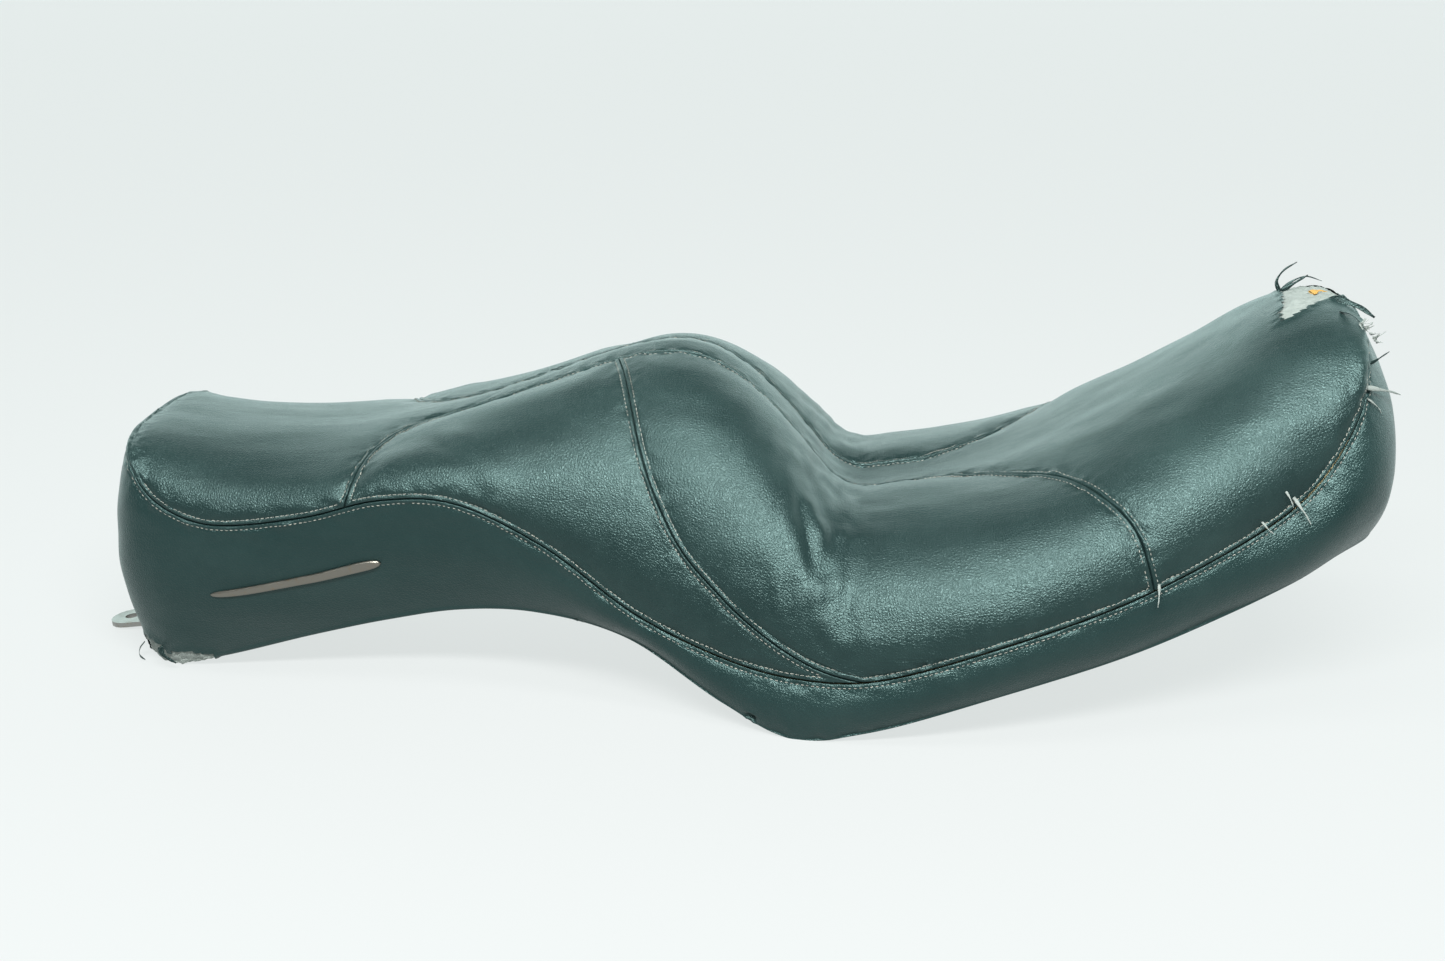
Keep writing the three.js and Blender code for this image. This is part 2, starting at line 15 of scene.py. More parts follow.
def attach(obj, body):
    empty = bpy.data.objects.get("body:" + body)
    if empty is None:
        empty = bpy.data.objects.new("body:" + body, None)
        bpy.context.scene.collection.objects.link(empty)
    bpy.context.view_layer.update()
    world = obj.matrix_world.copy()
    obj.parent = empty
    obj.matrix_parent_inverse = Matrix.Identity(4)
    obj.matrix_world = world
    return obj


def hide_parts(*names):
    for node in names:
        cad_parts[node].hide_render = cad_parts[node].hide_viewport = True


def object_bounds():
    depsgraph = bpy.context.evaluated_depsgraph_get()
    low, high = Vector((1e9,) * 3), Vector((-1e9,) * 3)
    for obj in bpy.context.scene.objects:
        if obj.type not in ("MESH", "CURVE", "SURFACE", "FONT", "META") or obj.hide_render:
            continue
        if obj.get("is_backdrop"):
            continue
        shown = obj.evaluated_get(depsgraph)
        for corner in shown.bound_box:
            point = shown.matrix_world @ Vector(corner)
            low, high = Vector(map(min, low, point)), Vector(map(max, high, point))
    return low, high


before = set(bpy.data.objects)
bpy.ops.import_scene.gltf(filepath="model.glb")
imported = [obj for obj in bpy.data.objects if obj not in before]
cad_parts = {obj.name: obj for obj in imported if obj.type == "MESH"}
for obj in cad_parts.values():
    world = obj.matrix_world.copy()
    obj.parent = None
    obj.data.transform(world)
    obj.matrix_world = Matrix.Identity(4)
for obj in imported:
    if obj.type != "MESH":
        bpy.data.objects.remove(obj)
CAD_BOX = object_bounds()

MM = 0.001
ORIGIN = np.array([3.5, 0.0, -0.5])  # where the key curves' zero lies in the frame, in millimetres

# --- Key curves, in millimetres ------------------------------------------------------------------

# The seam between the top panels and the valance, rear middle to nose middle: x, half width, height.
SEAM_LINE = [
    (-351, 0, 139), (-349, 42, 138), (-341, 72, 130), (-326, 83, 111), (-295, 90, 98),
    (-235, 94, 104), (-190, 96, 116), (-148, 99, 117), (-96, 104, 95), (-39, 116, 58),
    (18, 134, 39), (51, 143, 35), (89, 149, 37), (158, 148, 58), (240, 131, 87),
    (318, 105, 130), (340, 96, 158), (351, 86, 182), (356, 62, 204), (358, 32, 215),
    (359, 0, 219),
]
# The bottom edge of the valance, point for point below the seam line.
BASE_LINE = [
    (-352, 0, 10), (-350, 36, 8), (-343, 56, 4), (-326, 65, 0), (-295, 68, 7),
    (-235, 73, 25), (-190, 77, 37), (-148, 82, 46), (-104, 90, 49), (-50, 106, 42),
    (8, 131, 14), (48, 145, -0.3), (89, 148, 6), (158, 143, 27), (240, 125, 51),
    (318, 101, 82), (344, 89, 95), (363, 72, 100), (369, 52, 101), (372, 26, 102),
    (372, 0, 102),
]
# Height of the top along the middle: x, height.
CROWN = [
    (-351, 139), (-341, 140), (-320, 137), (-291, 134), (-229, 134), (-167, 146),
    (-106, 166), (-75, 178), (-51, 185), (-28, 188), (-10, 185), (10, 174), (32, 153),
    (50, 131), (64, 114), (80, 106), (104, 109), (133, 115), (170, 127), (220, 154),
    (275, 187), (308, 210), (328, 219), (346, 222), (359, 219),
]
SQUARENESS = [
    (-351, 2.8), (-200, 2.6), (-60, 2.2), (0, 2.3), (60, 3.6), (120, 3.6), (200, 2.8),
    (300, 2.4), (359, 2.4),
]
CAP_ROOT = 2.2
VALLEY = [(10, 0), (60, 5), (90, 6), (130, 4), (200, 0)]
VALLEY_HALF_WIDTH = 24
VALANCE_SWELL = [(-351, 13), (-300, 9), (-150, 5), (150, 5), (300, 8), (359, 16)]

# Sewing lines across the top: sweep (0 in the middle, 1 at the seam line), x.
STRIP_SWEEP = 0.09
REAR_FLARE = [
    (STRIP_SWEEP, -140), (0.13, -165), (0.2, -184), (0.3, -194), (0.5, -202), (0.78, -206), (1, -209),
]
CROSS_SEAM = [
    (STRIP_SWEEP, -62), (0.2, -57), (0.56, -41), (0.76, -22), (0.87, 7), (0.94, 41), (1, 86),
]
NOSE_FLARE = [
    (STRIP_SWEEP, 120), (0.13, 140), (0.2, 162), (0.34, 190), (0.53, 211), (0.78, 231), (1, 240),
]

# --- Sewing, in millimetres ----------------------------------------------------------------------

STITCH_ROW = 2.7  # from the join to each row of topstitching
STITCH_PITCH = 3.0
STITCH_LENGTH = 2.1
THREAD_RADIUS = 0.27
SEAM_TUCK = 4.6  # how far a panel's edge turns down into the join
TUCK_WIDTH = 0.24
BAND_RISE = 0.45  # the seam allowance lifts the cover between the rows
ROW_DIP = 0.65
PUFF_REACH = 13.0  # distance over which a panel swells up beside its seam
TOP_PUFF = 2.6
VALANCE_PUFF = -1.0  # the valance is drawn tight, so it sinks a little instead
PUCKER = 0.5
HEM_WIDTH = 16

EDGE_STEPS = np.array([0, 0.3, 0.6, 0.9, 1.3, 1.8, 2.25, 2.7, 3.15, 3.7, 4.5, 5.6, 7.0])
MESH_STEP = 2.3
END_MARGIN = 0.002

# Where the cover is rubbed pale: heights and lengths over which it sets in, and how strongly.
RUB_HEIGHTS = (90, 220)
RUB_LENGTHS = (200, 350)
RUB_PATCH = 55
RUB_HIGH, RUB_NOSE, RUB_EVERYWHERE = 0.25, 0.35, 0.12

SIDES = {"left": 1, "right": -1}

# --- Curves --------------------------------------------------------------------------------------


def spline(points):
    """A centripetal Catmull-Rom curve through the points, as a function of the share along it."""
    keys = np.asarray(points, float)
    ends = np.vstack([2 * keys[0] - keys[1], keys, 2 * keys[-1] - keys[-2]])

    def at(share):
        scaled = np.clip(share, 0, 1) * (len(keys) - 1)
        first = np.minimum(scaled.astype(int), len(keys) - 2)
        t = (scaled - first)[..., None]
        a, b, c, d = (ends[first + k] for k in range(4))
        before, here, after = (
            np.maximum(((q - p) ** 2).sum(-1, keepdims=True) ** 0.25, 1e-4)
            for p, q in ((a, b), (b, c), (c, d))
        )
        leave = ((b - a) / before - (c - a) / (before + here) + (c - b) / here) * here
        arrive = ((c - b) / here - (d - b) / (here + after) + (d - c) / after) * here
        bend = -3 * b + 3 * c - 2 * leave - arrive
        return b + leave * t + bend * t**2 + (2 * b - 2 * c + leave + arrive) * t**3

    return at


def profile(points):
    """A smooth curve through (x, value) points, read back at any x."""
    samples = spline([(x, value, 0) for x, value in points])(np.linspace(0, 1, 40 * len(points)))
    order = np.argsort(samples[:, 0])
    return lambda x: np.interp(x, samples[order, 0], samples[order, 1])


SHARES = np.linspace(0, 1, 4001)
seam_curve = spline(SEAM_LINE)
base_curve = spline(BASE_LINE)
SEAM_X = seam_curve(SHARES)[:, 0]
crown = profile(CROWN)
squareness = profile(SQUARENESS)
valley_depth = profile(VALLEY)
valance_swell = profile(VALANCE_SWELL)


def outward(curve, outline):
    """The level direction square to an outline curve, pointing out of the seat."""
    along = curve(outline + 2e-4) - curve(outline - 2e-4)
    length = np.hypot(along[..., 0], along[..., 1])
    return np.stack([-along[..., 1] / length, along[..., 0] / length, 0 * length], -1)


def inset(curve, outline, depth):
    return curve(outline) - outward(curve, outline) * np.asarray(depth)[..., None]


def top_point(outline, sweep, depth=0.0):
    """A place on the top, depth below its skin. Sweep runs from -1 at the right seam to 1 at the left."""
    edge = inset(seam_curve, outline, depth)
    edge[..., 2] -= depth
    across = np.sin(sweep * math.pi / 2)
    x, y = edge[..., 0], across * edge[..., 1]
    cap = np.maximum(1 - np.abs(across) ** squareness(x), 0) ** (1 / CAP_ROOT)
    bolster = 1 - across**4 - np.exp(-((y / VALLEY_HALF_WIDTH) ** 2))
    valley = np.where(np.abs(sweep) < 1, valley_depth(x) * bolster, 0)
    return np.stack([x, y, edge[..., 2] + (crown(x) - depth - edge[..., 2]) * cap + valley], -1)


def side_point(outline, fall, depth=0.0):
    """A place on the left valance. Fall runs from 0 at the seam to 1 at the bottom edge."""
    high = inset(seam_curve, outline, depth + 0 * outline)
    low = inset(base_curve, outline, depth + 0 * outline)
    swell = valance_swell(high[..., 0]) * 4 * fall * (1 - fall)
    return high + (low - high) * fall[..., None] + outward(base_curve, outline) * swell[..., None]


def line_outline(line, sweep):
    """The outline share of a sewing line across the top at a sweep."""
    return np.interp(profile(line)(np.abs(sweep)), SEAM_X, SHARES)


# --- Sewing lines --------------------------------------------------------------------------------


def mirrored(places, side):
    return places * np.array([1, side, 1])


def evenly(places, step):
    """The same line with its points a step apart."""
    lengths = np.concatenate([[0], np.cumsum(np.linalg.norm(np.diff(places, axis=0), axis=1))])
    at = np.linspace(0, lengths[-1], max(int(lengths[-1] / step), 2))
    return np.stack([np.interp(at, lengths, places[:, k]) for k in range(3)], -1)


def cross_line(line):
    sweep = np.linspace(STRIP_SWEEP, 1, 600)
    return top_point(line_outline(line, sweep), sweep)


def strip_line():
    start, end = (line_outline(line, np.array([STRIP_SWEEP]))[0] for line in (REAR_FLARE, NOSE_FLARE))
    outline = np.linspace(start, end, 800)
    return top_point(outline, np.full_like(outline, STRIP_SWEEP))


RIM = seam_curve(np.linspace(0.0005, 0.9995, 3000))
SEAMS = {}
for side_name, side in SIDES.items():
    SEAMS[f"rim_{side_name}"] = mirrored(RIM, side)
    SEAMS[f"rear_flare_{side_name}"] = mirrored(cross_line(REAR_FLARE), side)
    SEAMS[f"strip_{side_name}"] = mirrored(strip_line(), side)
    SEAMS[f"cross_{side_name}"] = mirrored(cross_line(CROSS_SEAM), side)
    SEAMS[f"nose_flare_{side_name}"] = mirrored(cross_line(NOSE_FLARE), side)
SEAMS = {name: evenly(places, 0.25) for name, places in SEAMS.items()}


def seam_finder():
    """A tree of all the points on the sewing lines, and how far along its line each one is."""
    places = np.vstack(list(SEAMS.values()))
    along = np.concatenate([0.25 * np.arange(len(line)) for line in SEAMS.values()])
    tree = KDTree(len(places))
    for index, place in enumerate(places):
        tree.insert(place, index)
    tree.balance()
    return tree, along


SEAM_TREE, SEAM_ALONG = seam_finder()


def seam_distance(places):
    """The distance of each place to the nearest sewing line, and how far along that line it is."""
    found = [SEAM_TREE.find(place) for place in places.reshape(-1, 3)]
    distance = np.array([hit[2] for hit in found])
    along = SEAM_ALONG[[hit[1] for hit in found]]
    return distance.reshape(places.shape[:-1]), along.reshape(places.shape[:-1])


# --- Surface relief ------------------------------------------------------------------------------


def waves(places, wavelength, seed, stretch=(1, 1, 1), count=16):
    """Smooth noise between about -1 and 1, the same on every run."""
    random = np.random.default_rng(seed)
    direction = random.normal(size=(count, 3))
    direction /= np.linalg.norm(direction, axis=1, keepdims=True)
    direction *= random.uniform(0.6, 1.5, (count, 1)) * 2 * math.pi / wavelength
    phase = random.uniform(0, 2 * math.pi, count)
    total = np.zeros(places.shape[:-1])
    for turn, offset in zip(direction / np.asarray(stretch), phase):
        total += np.sin(places @ turn + offset)
    return total / math.sqrt(count)


# Single folds: start, end, half width and height in millimetres. Negative heights are creases.
FOLDS = [
    ((-165, -62, 149), (-128, -99, 123), 6, -1.5),
    ((-157, -56, 150), (-120, -94, 128), 7, 1.3),
    ((-140, -92, 131), (-112, -99, 115), 8, 0.9),
    ((47, -98, 124), (57, -128, 92), 4, -2.2),
    ((55, -96, 118), (66, -122, 96), 5, 1.5),
    ((57, -130, 88), (66, -136, 76), 9, 2.4),
    ((70, -112, 100), (60, -135, 74), 4, -1.4),
    ((66, -74, 116), (92, -100, 108), 5, 1.1),
    ((60, -62, 121), (100, -74, 112), 5, -1.0),
    ((44, -60, 137), (66, -96, 113), 6, -1.0),
    ((28, 96, 132), (56, 128, 92), 5, -1.5),
    ((46, 84, 128), (70, 118, 98), 6, 1.2),
    ((-150, 70, 145), (-118, 97, 122), 6, -1.1),
    ((-172, 60, 145), (-150, 92, 128), 7, 0.9),
    ((152, 40, 124), (178, 62, 132), 5, -0.8),
    ((146, 52, 124), (166, 78, 127), 5, 0.8),
]


def fold_relief(places):
    total = np.zeros(places.shape[:-1])
    for start, end, width, height in FOLDS:
        start, end = np.array(start, float), np.array(end, float)
        span = end - start
        share = np.clip(((places - start) @ span) / (span @ span), 0, 1)
        nearest = start + share[..., None] * span
        distance = np.linalg.norm(places - nearest, axis=-1)
        taper = np.sin(math.pi * (0.12 + 0.76 * share))
        total += height * taper * np.exp(-((distance / width) ** 2))
    return total


def seam_relief(distance, along, puff):
    """Height of the cover beside a join: a tucked edge, a raised band, a row of stitches, then the swell."""
    tuck = -SEAM_TUCK * np.exp(-((distance / TUCK_WIDTH) ** 2))
    band = BAND_RISE * np.clip(distance / 0.7, 0, 1) * np.clip((STITCH_ROW + 0.5 - distance) / 0.7, 0, 1)
    holes = 0.75 + 0.25 * np.cos(2 * math.pi * along / STITCH_PITCH)
    row = -ROW_DIP * holes * np.exp(-(((distance - STITCH_ROW) / 0.55) ** 2))
    past = np.maximum(distance - STITCH_ROW, 0)
    swell = puff * (1 - np.exp(-past / PUFF_REACH))
    return tuck + band + row + swell


def scoop_share(places):
    """1 in the bottom of the rider's scoop, where the cover gathers, and 0 away from it."""
    return np.exp(-(((places[..., 0] - 62) / 26) ** 2))


def relief(places, distance, along, puff):
    """Height of the cover over the smooth shape, in millimetres."""
    past = np.maximum(distance - STITCH_ROW, 0)
    pucker = PUCKER * (waves(places, 12, 4) + 0.5 * waves(places, 6, 5)) * np.exp(-past / 5)
    pucker *= np.clip((distance - 0.8) / 1.5, 0, 1)
    settled = np.clip(past / 16, 0, 1)
    drape = 0.5 * waves(places, 85, 1, (2.0, 1, 1)) + 0.22 * waves(places, 30, 2, (2.6, 1, 1))
    gather = 0.55 * waves(places, 17, 3, (0.8, 1.6, 1)) * scoop_share(places)
    return seam_relief(distance, along, puff) + pucker + settled * (drape + gather) + fold_relief(places)


def grid_normals(places):
    along, across = np.gradient(places, axis=0), np.gradient(places, axis=1)
    normals = np.cross(along, across)
    length = np.linalg.norm(normals, axis=-1, keepdims=True)
    return normals / np.maximum(length, 1e-9)


# --- Meshes --------------------------------------------------------------------------------------


def in_frame(places):
    return (np.asarray(places, float).reshape(-1, 3) + ORIGIN) * MM


def mesh_object(name, places, faces, facts=None):
    """An object from places in millimetres and faces. Facts are named numbers for each place."""
    mesh = bpy.data.meshes.new(name)
    mesh.from_pydata(in_frame(places).tolist(), [], [list(face) for face in faces])
    for fact, values in (facts or {}).items():
        attribute = mesh.attributes.new(fact, "FLOAT", "POINT")
        attribute.data.foreach_set("value", np.asarray(values, np.float32).ravel())
    mesh.validate()
    mesh.polygons.foreach_set("use_smooth", [True] * len(mesh.polygons))
    piece = bpy.data.objects.new(name, mesh)
    bpy.context.scene.collection.objects.link(piece)
    return piece


def grid_faces(rows, columns, flip=False):
    index = np.arange(rows * columns).reshape(rows, columns)
    corners = [index[:-1, :-1], index[1:, :-1], index[1:, 1:], index[:-1, 1:]]
    faces = np.stack([corner.ravel() for corner in corners], -1)
    return faces[:, ::-1] if flip else faces


def tube_faces(rings, sides, flip=False):
    """Faces of a closed run of rings, with both ends capped."""
    faces = grid_faces(rings, sides + 1, flip)
    ring, side = np.divmod(faces, sides + 1)
    first, last = range(sides), range((rings - 1) * sides, rings * sides)
    return [*(ring * sides + side % sides).tolist(), tuple(first), tuple(reversed(last))]


def only_used(places, faces, facts):
    """The same mesh without the places that no face uses."""
    used, faces = np.unique(faces, return_inverse=True)
    faces = faces.reshape(-1, 4)
    return places.reshape(-1, 3)[used], faces, {k: v.ravel()[used] for k, v in facts.items()}


def graded(*lengths):
    """Shares along stretches of those lengths, counted 0 to 1 on each, close together at every end."""
    shares = []
    for stretch, length in enumerate(lengths):
        middle_count = max(int((length - 2 * EDGE_STEPS[-1]) / MESH_STEP), 2)
        middle = np.linspace(EDGE_STEPS[-1], length - EDGE_STEPS[-1], middle_count + 1)[1:-1]
        places = np.concatenate([EDGE_STEPS, middle, length - EDGE_STEPS[::-1]])
        places = places if stretch == len(lengths) - 1 else places[:-1]
        shares.append(stretch + places / length)
    return np.concatenate(shares)


def share_between(value, low, high):
    """0 up to low, 1 from high on and a straight line between."""
    return np.clip((value - low) / (high - low), 0, 1)


def cover_facts(places, distance):
    """What the cover's material needs to know at each place. It is rubbed most high up and at the nose."""
    height_share = share_between(places[..., 2], *RUB_HEIGHTS)
    nose_share = share_between(places[..., 0], *RUB_LENGTHS)
    patchy = 0.5 + 0.5 * waves(places, RUB_PATCH, 9)
    wear = RUB_HIGH * height_share + RUB_NOSE * nose_share * patchy + RUB_EVERYWHERE * patchy
    # The seam distance tells the material where to paint shade into joins and holes.
    return {"seam": distance * MM, "wear": np.clip(wear, 0, 1)}


def dress(places, puff, flip=False):
    """Displaces a grid of smooth places into the worn cover, and says what its material needs."""
    distance, along = seam_distance(places)
    normals = grid_normals(places) * (-1 if flip else 1)
    height = relief(places, distance, along, puff)
    return places + normals * height[..., None], cover_facts(places, distance)


# --- Damage --------------------------------------------------------------------------------------

# Where the cover is torn away on the nose, seen from above: x, y.
NOSE_TEAR = [
    (329, 60), (345, 58), (354, 36), (357, 2), (352, -10), (342, -16), (327, -29), (314, -34),
    (320, -14), (324, 8),
]
# Where it is torn at the rear right corner, unrolled: millimetres along the valance and down it.
CORNER_TEAR = [(60, 88), (70, 84), (81, 82), (96, 87), (111, 86), (124, 92), (128, 106), (58, 106)]
CORNER_SCALE = 650  # millimetres along the valance for one whole outline
VALANCE_DROP = 95
FRAY = 0.8
LIP_RISE = 0.9
HOLE_DEPTH = 3.0
HOLE_RIM = 0.5  # the cover is pushed up in a ring round each hole
# Inside a hole the seam distance is at most this many millimetres, so the whole hole gets painted shade
HOLE_PAINTED_SHADE = 0.15
# Small holes with sunk rims: place and radius.
HOLES = [((24, -139, 9.5), 2.6), ((-76, -98, 47.5), 1.6), ((-338, -66, 13), 3.0)]


def inside_depth(flat, outline):
    """How far inside a closed outline each flat place is. Negative outside."""
    corners = np.asarray(outline, float)
    nexts = np.roll(corners, -1, axis=0)
    nearest = np.full(flat.shape[:-1], 1e9)
    inside = np.zeros(flat.shape[:-1], bool)
    for (ax, ay), (bx, by) in zip(corners, nexts):
        span = np.array([bx - ax, by - ay])
        share = np.clip(((flat - (ax, ay)) @ span) / (span @ span), 0, 1)
        foot = np.array([ax, ay]) + share[..., None] * span
        nearest = np.minimum(nearest, np.linalg.norm(flat - foot, axis=-1))
        crosses = (ay > flat[..., 1]) != (by > flat[..., 1])
        reach = ax + (flat[..., 1] - ay) / (by - ay + 1e-9) * (bx - ax)
        inside ^= crosses & (flat[..., 0] < reach)
    return np.where(inside, nearest, -nearest)


def torn_depth(flat, outline, places):
    """How far inside the tear each place is, with a frayed edge."""
    fray = FRAY * (waves(places, 7, 31) + 0.6 * waves(places, 2.6, 32))
    return inside_depth(flat, outline) + fray


def lifted_lip(torn):
    """The torn edge of the cover curls up."""
    return LIP_RISE * np.exp(-((torn / 2.2) ** 2)) * (torn < 1)


def face_mean(values):
    return (values[1:, 1:] + values[:-1, 1:] + values[1:, :-1] + values[:-1, :-1]) / 4


def wadding_patch(name, places, normals, torn, faces, depth):
    """The fleece that shows where the cover is gone: matted, lumpy and pulled up at its edge."""
    lumps = 0.5 * waves(places, 9, 41) + 0.35 * waves(places, 4, 42) + 0.3 * waves(places, 2.2, 43)
    height = -depth + 0.8 * lumps * (torn > -2)
    shown = face_mean(torn).ravel() > -5
    patch, faces, _ = only_used(places + normals * height[..., None], faces[shown], {})
    patch[:, 2] = np.maximum(patch[:, 2], -ORIGIN[2])
    piece = mesh_object(name, patch, faces)
    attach(piece, "root")
    return piece


def hole_relief(places, distance):
    """The cover sinks into each small hole, whose inside counts as a join so that the material paints shade
    into it.
    """
    height = np.zeros(places.shape[:-1])
    for centre, radius in HOLES:
        reach = np.linalg.norm(places - np.array(centre, float), axis=-1) / radius
        height -= HOLE_DEPTH * np.exp(-(reach**4)) - HOLE_RIM * np.exp(-(((reach - 1.5) / 0.4) ** 2))
        distance = np.where(reach < 1, np.minimum(distance, HOLE_PAINTED_SHADE * reach), distance)
    return height, distance


def ribbon(points, half_width, half_thickness, face):
    """A thin shred along a curve, tapered to its tip, as places and faces."""
    shares = np.linspace(0, 1, 14)
    path = spline(points)(shares)
    along = np.gradient(path, axis=0)
    along /= np.linalg.norm(along, axis=1, keepdims=True)
    across = np.cross(along, np.asarray(face, float))
    across /= np.linalg.norm(across, axis=1, keepdims=True)
    up = np.cross(across, along)
    turns = np.linspace(0, 2 * math.pi, 8, endpoint=False)
    girth = (np.clip(1 - shares, 0.06, 1) ** 0.6 * (0.8 + 0.25 * np.sin(9 * shares)))[:, None, None]
    ring = across[:, None] * np.cos(turns)[None, :, None] * half_width * girth
    ring = ring + up[:, None] * np.sin(turns)[None, :, None] * half_thickness * girth
    places = path[:, None] + ring
    return places.reshape(-1, 3), tube_faces(len(shares), len(turns), flip=True)


def shreds(name, ribbons):
    """Several ribbons as one piece."""
    places, faces = [], []
    for points, half_width, half_thickness, face in ribbons:
        base = sum(len(block) for block in places)
        block, quads = ribbon(points, half_width, half_thickness, face)
        places.append(block)
        faces += [tuple(base + corner for corner in quad) for quad in quads]
    piece = mesh_object(name, np.concatenate(places), faces)
    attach(piece, "root")
    return piece


# Dark curls and flaps of cover: path, half width, half thickness, the way the flat side faces.
VINYL_SHREDS = [
    ([(326, 36, 217), (324, 37, 223), (328, 40, 229), (336, 42, 234)], 1.5, 0.35, (0.2, -1, 0.2)),
    ([(326, 32, 219), (332, 33, 224), (340, 34, 227), (350, 36, 224)], 1.0, 0.35, (0, -1, 0.5)),
    ([(326, 30, 219), (331, 31, 222), (336, 32, 225), (341, 33, 228)], 1.7, 0.35, (0.2, -1, 0.3)),
    ([(344, -14, 221), (351, -18, 223), (359, -22, 221), (367, -27, 216)], 4.2, 0.4, (0.3, -0.9, 0.5)),
    ([(346, -36, 221), (350, -42, 221), (354, -47, 218), (357, -50, 213)], 1.8, 0.4, (0.3, -0.3, 1)),
    ([(356, -72, 200), (359, -73, 202.5), (362, -73.5, 205), (365, -74, 207.5)], 1.1, 0.4, (0.3, -1, 0)),
    ([(-348, -55, 10), (-350, -58, 7), (-349, -62, 4), (-345, -64, 2)], 3.0, 0.4, (-1, -0.5, 0)),
    ([(-333, -70, 13), (-330, -74, 10), (-326, -76, 8), (-322, -75, 5)], 2.2, 0.4, (0, -1, 0.3)),
]
# White slivers of fleece and thread that stand out of the seam between nose and valance.
FLEECE_SHREDS = [
    ([(242, -133, 92), (242, -135.5, 88), (241.8, -137, 84), (241.6, -137, 80)], 0.9, 0.4, (0, -1, 0)),
    ([(314, -107, 134), (317, -111.5, 130), (320, -113, 126), (323, -113, 121)], 1.1, 0.5, (0, -1, 0.3)),
    ([(309, -108, 138), (310.5, -111, 136), (312, -113, 133), (313, -113, 130)], 0.8, 0.4, (0, -1, 0.3)),
    ([(297, -114, 122), (299, -116.5, 120), (301, -117.5, 118), (304, -117, 116)], 0.7, 0.4, (0, -1, 0.3)),
    ([(352, -85, 190), (360, -81, 188), (368, -73, 185), (377, -60, 180)], 1.5, 0.4, (1, -1, 0.3)),
    ([(353, -85, 184), (357, -84, 181), (361, -82, 177), (363, -80, 172)], 0.7, 0.35, (1, -1, 0.3)),
]
# A crumb of foam that has worked out through the fleece in the tear.
FOAM_CRUMBS = [
    ([(337, 2, 223.6), (340, 3.5, 224.4), (343, 5, 224.4), (347, 7, 223.4)], 3.2, 0.9, (0, -0.2, 1)),
]

FUZZ_COUNT = 26


def fuzz():
    """Loose white fibres along the burst seam beside the tear."""
    random = np.random.default_rng(77)
    lie = np.array([0.9, -0.5, 0.6])
    root = spline([(352, -52, 219), (356, -51, 215), (361, -49, 210), (364, -48, 206)])
    for share in random.uniform(0, 1, FUZZ_COUNT):
        foot = root(np.array([share]))[0]
        lean = lie + random.normal(0, 0.45, 3)
        reach = random.uniform(2.0, 4.5)
        bow = random.normal(0, 0.3, 3)
        low = foot + lean * reach * 0.35 + bow * 0.4
        high = foot + lean * reach * 0.7 + bow
        yield [foot, low, high, foot + lean * reach], random.uniform(0.4, 0.9), 0.3, (0.3, -0.6, 1)


# --- Stitching -----------------------------------------------------------------------------------

STITCH_RUNS = []


def stitch_runs(places, distance):
    """The row of stitches beside a seam along the first row of a grid, as runs of places and normals."""
    depth = len(EDGE_STEPS) + 4
    near = distance[:depth]
    inner = np.argmax(near >= STITCH_ROW, axis=0)
    found = inner > 0
    outer = np.maximum(inner - 1, 0)
    columns = np.arange(places.shape[1])
    low, high = near[outer, columns], near[inner, columns]
    share = np.where(found, (STITCH_ROW - low) / np.maximum(high - low, 1e-6), 0)[:, None]
    row = places[outer, columns] * (1 - share) + places[inner, columns] * share
    normals = grid_normals(places[: depth + 2])[inner, columns]
    breaks = np.flatnonzero(np.diff(found.astype(int))) + 1
    for run in np.split(columns, breaks):
        if found[run[0]] and len(run) > 3:
            yield row[run], normals[run]


def borders(grid):
    """The same grid turned four ways, so that each of its sides comes first."""
    return {
        "start": grid,
        "end": grid[::-1],
        "low": np.swapaxes(grid, 0, 1),
        "high": np.swapaxes(grid, 0, 1)[::-1],
    }


def sew(places, distance, sides=("start", "end", "low", "high")):
    """Runs of stitches along those sides of a grid."""
    place_views, distance_views = borders(places), borders(distance)
    for side in sides:
        STITCH_RUNS.extend(stitch_runs(place_views[side], distance_views[side]))


# Rings along one stitch: share of its half length, height over the cover in millimetres, share of its radius.
STITCH_RINGS = [
    (-1.0, -0.45, 0.6), (-0.62, 0.02, 1.0), (0.0, 0.12, 1.0), (0.62, 0.02, 1.0), (1.0, -0.45, 0.6),
]
THREAD_SIDES = 5
MISSED_STITCHES = 0.02


def stitching(runs):
    """Every stitch of every row, each one a short tube that dips into the cover at both ends."""
    random = np.random.default_rng(21)
    turns = np.linspace(0, 2 * math.pi, THREAD_SIDES, endpoint=False)
    places, faces, shades = [], [], []
    for row, normals in runs:
        lengths = np.concatenate([[0], np.cumsum(np.linalg.norm(np.diff(row, axis=0), axis=1))])
        for start in np.arange(1.0, lengths[-1] - STITCH_PITCH, STITCH_PITCH):
            if random.random() < MISSED_STITCHES:
                continue
            ends = start + np.array([0, STITCH_LENGTH + random.uniform(-0.25, 0.2)])
            first, last = (np.array([np.interp(at, lengths, row[:, k]) for k in range(3)]) for at in ends)
            up = np.array([np.interp(start, lengths, normals[:, k]) for k in range(3)])
            up /= np.linalg.norm(up)
            half = (last - first) / 2
            across = np.cross(half, up)
            across /= np.linalg.norm(across)
            half = half + across * random.uniform(-0.12, 0.12)
            middle = (first + last) / 2
            base = len(places) * len(turns)
            for along, rise, girth in STITCH_RINGS:
                radius = THREAD_RADIUS * girth
                ring = middle + half * along + up * rise
                ring = ring + np.outer(np.cos(turns), across) * radius + np.outer(np.sin(turns), up) * radius
                places.append(ring)
                shades.append(np.full(len(turns), random.uniform(0, 1)))
            for ring in range(len(STITCH_RINGS) - 1):
                for turn in range(len(turns)):
                    a = base + ring * len(turns) + turn
                    b = base + ring * len(turns) + (turn + 1) % len(turns)
                    faces.append((a, a + len(turns), b + len(turns), b))
    facts = {"shade": np.concatenate(shades)}
    return mesh_object("stitching", np.concatenate(places), faces, facts)


# --- Cover panels --------------------------------------------------------------------------------


